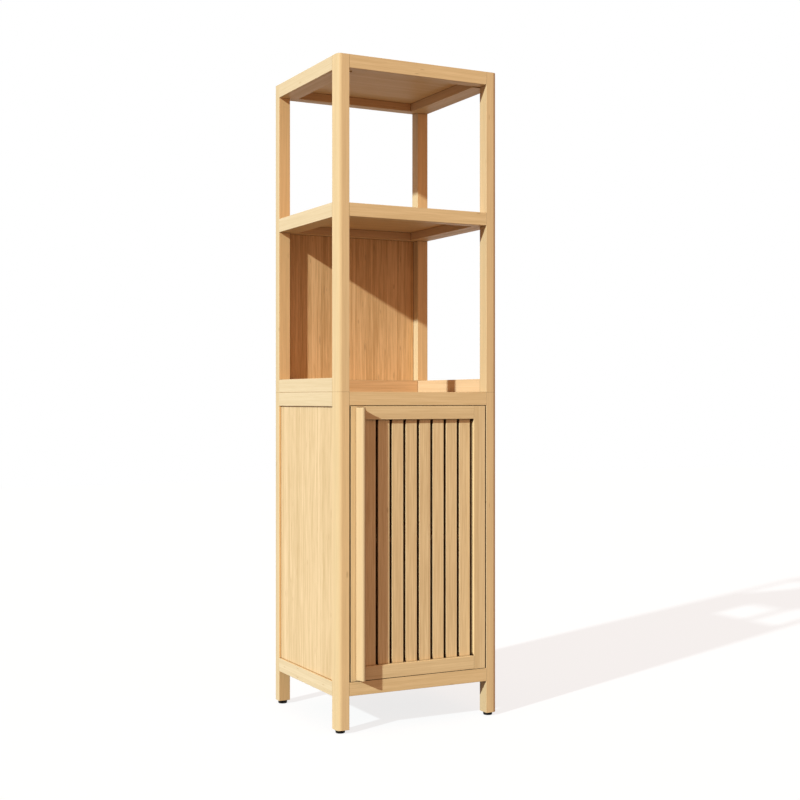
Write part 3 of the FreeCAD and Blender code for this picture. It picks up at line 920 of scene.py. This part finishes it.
def add_piece(
    name: str, mesh: bmesh.types.BMesh, material: bpy.types.Material, body: str
) -> bpy.types.Object:
    """Turn a built mesh into a piece that rides on a body.

    Args:
        name: The piece's name.
        mesh: Its mesh, in the frame's axes, which is freed.
        material: Its finish.
        body: The body that it moves with.

    Returns:
        The new piece.
    """
    bmesh.ops.recalc_face_normals(mesh, faces=mesh.faces)
    for face in mesh.faces:
        face.smooth = True
    data = bpy.data.meshes.new(name)
    mesh.to_mesh(data)
    mesh.free()
    data.set_sharp_from_angle(angle=math.radians(SHARP_DEGREES))
    data.materials.append(material)
    piece = bpy.data.objects.new(name, data)
    bpy.context.scene.collection.objects.link(piece)
    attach(piece, body)
    LOG.info("%s built on body %s", name, body)
    return piece


def revolve(
    rows: Iterable[float], radius: Callable[[float, float], float], segments: int
) -> bmesh.types.BMesh:
    """Closed turned mesh about the Z axis.

    Args:
        rows: Heights of its rings, from the bottom up.
        radius: Radius at a height and an angle.
        segments: Points in each ring.

    Returns:
        The mesh, capped at both ends.
    """
    mesh = bmesh.new()
    rings = []
    for height in rows:
        ring = []
        for number in range(segments):
            angle = math.tau * number / segments
            reach = radius(height, angle)
            ring.append(mesh.verts.new((reach * math.cos(angle), reach * math.sin(angle), height)))
        rings.append(ring)
    for lower, upper in zip(rings, rings[1:]):
        for number in range(segments):
            following = (number + 1) % segments
            mesh.faces.new((lower[number], lower[following], upper[following], upper[number]))
    mesh.faces.new(rings[0][::-1])
    mesh.faces.new(rings[-1])
    return mesh


@dataclass
class OpenRack:
    """Upper half: four posts, two framed boards, a low rail round its foot and a back panel."""

    frames: tuple[str, ...] = ("top", "shelf")

    def dress(self) -> None:
        """Give the rack's pieces their finishes."""
        dress_posts("rack")
        for name in self.frames:
            dress_frame(name)
        dress("rack_base_rail_rear", SHADED_REAR_RAIL_BAMBOO.material(Run.ACROSS))
        for side in SIDES:
            dress(f"rack_base_rail_{side}", RAIL_FINISHES[side].material(Run.DEEP))
        dress("rack_back_panel", BACK_BAMBOO.material(Run.UPRIGHT))


@dataclass
class Cupboard:
    """Lower half: legs, deck and base frames, panels, and the loose shelf on its cleats."""

    frames: tuple[str, ...] = ("deck", "base")

    def dress(self) -> None:
        """Give the cupboard's pieces their finishes."""
        dress_posts("leg")
        for name in self.frames:
            dress_frame(name)
        for side in SIDES:
            dress(f"side_panel_{side}", PANEL_BAMBOO.material(Run.UPRIGHT))
            dress(f"shelf_cleat_{side}", HIDDEN_BAMBOO.material(Run.DEEP))
        dress("cupboard_back_panel", BACK_BAMBOO.material(Run.UPRIGHT))
        dress("inner_shelf", SHADED_BOARD_BAMBOO.material(Run.ACROSS))
        dress("rail_tenons", HIDDEN_BAMBOO.material(Run.ACROSS))


@dataclass
class SlattedDoor:
    """Door: stiles, rails, upright slats and the fin handle."""

    stiles: tuple[str, ...] = ("door_stile_left", "door_stile_right")
    rails: tuple[str, ...] = ("door_rail_top", "door_rail_bottom")

    def dress(self) -> None:
        """Give the door's pieces their finishes."""
        for node in self.stiles:
            dress(node, PAINTED_LIGHT_DOOR_BAMBOO.material(Run.UPRIGHT))
        for node in self.rails:
            dress(node, PAINTED_LIGHT_DOOR_BAMBOO.material(Run.ACROSS))
        dress("door_slats", PAINTED_LIGHT_SLAT_BAMBOO.material(Run.UPRIGHT))
        dress("door_handle", HANDLE_BAMBOO.material(Run.UPRIGHT))


@dataclass
class ScrewFeet:
    """Four moulded feet with a fluted rim and a threaded stud that runs in the leg."""

    pad_height: float = 0.0071
    rim_round: float = 0.0012
    top_round: float = 0.0006
    round_rows: int = 6
    sole_inset: float = 0.0007
    flutes: int = 18
    flute_depth: float = 0.0003
    stud_radius: float = 0.0040
    thread_depth: float = 0.0006
    thread_pitch: float = 0.00125
    lead_in: float = 0.0012
    segments: int = 72
    rows_per_pitch: int = 8

    def build(self) -> None:
        """Build each foot in the place of its node."""
        for end in ENDS:
            for side in SIDES:
                node = f"foot_{end}_{side}"
                low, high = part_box(node)
                mesh = self.pad(low, high)
                self.add_stud(mesh, high.z - low.z)
                middle = (low + high) / 2
                bmesh.ops.translate(mesh, verts=mesh.verts, vec=(middle.x, middle.y, low.z))
                piece = add_piece(f"moulded_{node}", mesh, BLACK_PLASTIC.material(), node)
                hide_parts(node)
                dress(node, BLACK_PLASTIC.material())

    def pad(self, low: Vector, high: Vector) -> bmesh.types.BMesh:
        """Pad of a foot, standing on the origin.

        Args:
            low: Lowest corner of the foot's node.
            high: Highest corner of the foot's node.

        Returns:
            The pad's mesh.
        """
        full = (high.x - low.x) / 2
        shares = [n / self.round_rows for n in range(self.round_rows + 1)]
        rows = [self.rim_round * (1 - math.cos(math.pi / 2 * share)) for share in shares]
        rows += [self.pad_height - self.top_round * (1 - share) for share in shares]

        def radius(height: float, angle: float) -> float:
            """Radius of the pad, drawn in at the sole and rounded at the top.

            Args:
                height: Height above the sole.
                angle: Angle round the pad.

            Returns:
                The radius there.
            """
            rise = min(1.0, height / self.pad_height)
            reach = full - self.sole_inset * (1 - rise)
            if height < self.rim_round:
                share = 1 - height / self.rim_round
                reach -= self.rim_round * (1 - math.sqrt(1 - share * share))
            crown = height - (self.pad_height - self.top_round)
            if crown > 0:
                share = crown / self.top_round
                reach -= self.top_round * (1 - math.sqrt(max(0.0, 1 - share * share)))
            groove = 0.5 - 0.5 * math.cos(self.flutes * angle)
            return reach - self.flute_depth * groove

        return revolve(rows, radius, self.segments)

    def add_stud(self, mesh: bmesh.types.BMesh, top: float) -> None:
        """Add the threaded stud to a pad.

        Args:
            mesh: The pad's mesh.
            top: Height of the stud's upper end above the sole.
        """
        length = top - self.pad_height
        count = math.ceil(length / self.thread_pitch * self.rows_per_pitch)
        root = self.pad_height - self.top_round
        rows = [root + (top - root) * n / count for n in range(count + 1)]

        def radius(height: float, angle: float) -> float:
            """Radius of the stud along its thread, tapered at the upper end.

            Args:
                height: Height above the sole.
                angle: Angle round the stud.

            Returns:
                The radius there.
            """
            turn = height / self.thread_pitch - angle / math.tau
            ridge = abs(2 * (turn - math.floor(turn)) - 1)
            taper = max(0.0, 1 - (top - height) / self.lead_in)
            return self.stud_radius - self.thread_depth * max(1 - ridge, taper)

        stud = revolve(rows, radius, self.segments // 2)
        carrier = bpy.data.meshes.new("stud")
        stud.to_mesh(carrier)
        stud.free()
        mesh.from_mesh(carrier)
        bpy.data.meshes.remove(carrier)


@dataclass
class Fittings:
    """Pivots, magnetic catch, strike plate, and the cross-head screws that hold them.

    A head's shares are of its radius or its height. Those of the catch's screws are of the
    housing's depth.
    """

    head_radius: float = 0.0030
    head_height: float = 0.0012
    low_head_height: float = 0.0002
    rim_share: float = 0.45
    dome_fall: float = 0.94
    recess_share: float = 0.62
    recess_width_share: float = 0.20
    recess_depth_share: float = 0.75
    recess_slope: float = 4.0
    rings: int = 14
    segments: int = 64
    catch_screws: tuple[tuple[str, float], ...] = (("near", 0.62), ("far", 0.88))

    def dress(self) -> None:
        """Give the fittings from the frame their finishes."""
        for node in ("stacking_screws", "pivot_pins", "strike_plate", "catch_magnet"):
            dress(node, PLATED_STEEL.material())
        for node in ("catch_housing", "pivot_bushes"):
            dress(node, BLACK_PLASTIC.material())

    def head(self, radius: float, height: float) -> bmesh.types.BMesh:
        """Domed screw head with a cross recess, standing on the origin and facing up.

        Args:
            radius: Radius of the head.
            height: Height of the head.

        Returns:
            The head's closed mesh.
        """
        mesh = bmesh.new()
        centre = mesh.verts.new((0, 0, self.crown(0, 0, radius, height)))
        rings = []
        for ring in range(1, self.rings + 1):
            reach = radius * ring / self.rings
            places = [math.tau * n / self.segments for n in range(self.segments)]
            points = [(reach * math.cos(a), reach * math.sin(a)) for a in places]
            rings.append([mesh.verts.new((x, y, self.crown(x, y, radius, height))) for x, y in points])
        rings.append([mesh.verts.new((v.co.x, v.co.y, 0)) for v in rings[-1]])
        for number in range(self.segments):
            following = (number + 1) % self.segments
            mesh.faces.new((centre, rings[0][number], rings[0][following]))
            for inner, outer in zip(rings, rings[1:]):
                mesh.faces.new((inner[number], outer[number], outer[following], inner[following]))
        mesh.faces.new(rings[-1][::-1])
        return mesh

    def crown(self, x: float, y: float, radius: float, height: float) -> float:
        """Height of a head's face at a point, with the cross sunk into it.

        Args:
            x: Place across the head.
            y: Place along the head.
            radius: Radius of the head.
            height: Height of the head.

        Returns:
            The height above the head's seat.
        """
        share = min(1.0, math.hypot(x, y) / radius)
        dome = math.sqrt(1 - self.dome_fall * share * share)
        face = height * (self.rim_share + (1 - self.rim_share) * dome)
        arm = min(abs(x), abs(y)) / (radius * self.recess_width_share)
        end = max(abs(x), abs(y)) / (radius * self.recess_share)
        inside = max(0.0, min(1.0, self.recess_slope * (1 - max(arm, end))))
        return face - self.recess_depth_share * height * inside

    def build(self) -> None:
        """Build the visible screws of the catch and of the strike plate."""
        steel = PLATED_STEEL.material()
        low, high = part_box("catch_housing")
        middle = (low + high) / 2
        for name, share in self.catch_screws:
            place = Matrix.Translation((middle.x, low.y + (high.y - low.y) * share, low.z))
            mesh = self.head(self.head_radius, self.head_height)
            mesh.transform(place @ Matrix.Rotation(math.pi, 4, "X"))
            add_piece(f"catch_screw_{name}", mesh, steel, "cabinet")

        low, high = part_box("strike_plate")
        middle = (low + high) / 2
        place = Matrix.Translation((middle.x, high.y, middle.z))
        mesh = self.head(self.head_radius, self.low_head_height)
        mesh.transform(place @ Matrix.Rotation(-math.pi / 2, 4, "X"))
        add_piece("strike_screw", mesh, steel, "door")


@dataclass
class Studio:
    """Floor, light and camera."""

    eye: tuple[float, float, float] = (-1.3437, -2.6590, 0.6842)
    heading: tuple[float, float, float] = (0.4607, 0.8876, 0.0)
    lens: float = 60.6
    floor_size: float = 16.0
    floor_cells: int = 4
    floor_drop: float = 0.0002
    floor_colour: RGB = (0.20, 0.20, 0.20)
    floor_glow: float = 0.80
    ambient: RGB = (0.61, 0.37, 0.265)
    white: RGB = (1.0, 1.0, 1.0)
    key_heading: tuple[float, float, float] = (2.43, 1.0, -1.31)
    key_strength: float = 4.8
    key_colour: RGB = (0.85, 1.0, 1.04)
    key_angle: float = 1.5

    def build(self) -> None:
        """Build the whole studio."""
        self.add_floor()
        self.add_world()
        self.add_key()
        self.add_camera()
        bpy.context.scene.view_settings.view_transform = "Standard"

    def background_share(self, wiring: Wiring) -> Socket:
        """Tell the rays that look at the background from those that light the object.

        Args:
            wiring: Calls on the tree of the background's material.

        Returns:
            1 for a ray that looks at the background straight, mirrored or passed on, and else 0.
        """
        path = wiring.add("LightPath").outputs
        share = wiring.math("MAXIMUM", path["Is Camera Ray"], path["Is Glossy Ray"])
        return wiring.math("MAXIMUM", share, path["Is Transmission Ray"])

    def add_floor(self) -> None:
        """A plain pale floor that keeps a soft shadow."""
        mesh = bmesh.new()
        cells = self.floor_cells
        bmesh.ops.create_grid(mesh, x_segments=cells, y_segments=cells, size=self.floor_size / 2)
        bmesh.ops.translate(mesh, verts=mesh.verts, vec=(0, 0, -self.floor_drop))
        data = bpy.data.meshes.new("floor")
        mesh.to_mesh(data)
        mesh.free()
        material, wiring = empty_material("pale_floor")
        matt = wiring.add("BsdfDiffuse")
        wiring.feed(matt.inputs["Color"], self.floor_colour)
        glow = wiring.add("Emission")
        wiring.feed(glow.inputs["Color"], self.white)
        strength = wiring.math("MULTIPLY", self.background_share(wiring), self.floor_glow)
        wiring.feed(glow.inputs["Strength"], strength)
        both = wiring.add("AddShader")
        wiring.feed(both.inputs[0], matt.outputs[0])
        wiring.feed(both.inputs[1], glow.outputs[0])
        output = wiring.add("OutputMaterial")
        wiring.feed(output.inputs["Surface"], both.outputs[0])
        data.materials.append(material)
        floor = bpy.data.objects.new("floor", data)
        bpy.context.scene.collection.objects.link(floor)

    def add_world(self) -> None:
        """White behind the object, and a warm soft light from all round."""
        world = bpy.data.worlds.new("studio")
        world.use_nodes = True
        world.node_tree.nodes.clear()
        wiring = Wiring(world.node_tree)
        sky = wiring.add("Background")
        colour = wiring.blend(self.background_share(wiring), self.ambient, self.white)
        wiring.feed(sky.inputs["Color"], colour)
        output = wiring.add("OutputWorld")
        wiring.feed(output.inputs["Surface"], sky.outputs[0])
        bpy.context.scene.world = world

    def add_key(self) -> None:
        """A distant lamp from the upper left that throws clear shadows."""
        lamp = bpy.data.lights.new("key", "SUN")
        lamp.energy = self.key_strength
        lamp.color = self.key_colour
        lamp.angle = math.radians(self.key_angle)
        holder = bpy.data.objects.new("key", lamp)
        holder.rotation_mode = "QUATERNION"
        holder.rotation_quaternion = Vector(self.key_heading).to_track_quat("-Z", "Y")
        bpy.context.scene.collection.objects.link(holder)

    def add_camera(self) -> None:
        """A level camera at the photograph's place."""
        data = bpy.data.cameras.new("camera")
        data.lens = self.lens
        camera = bpy.data.objects.new("camera", data)
        camera.location = self.eye
        camera.rotation_mode = "QUATERNION"
        camera.rotation_quaternion = Vector(self.heading).to_track_quat("-Z", "Y")
        bpy.context.scene.collection.objects.link(camera)
        bpy.context.scene.camera = camera


def main() -> None:
    """Dress and build the cabinet's sub-assemblies in order, then the studio."""
    logging.basicConfig(level=logging.INFO, format="%(name)s: %(message)s")
    OpenRack().dress()
    Cupboard().dress()
    SlattedDoor().dress()
    ScrewFeet().build()
    fittings = Fittings()
    fittings.dress()
    fittings.build()
    Studio().build()


if __name__ == "__main__":
    main()
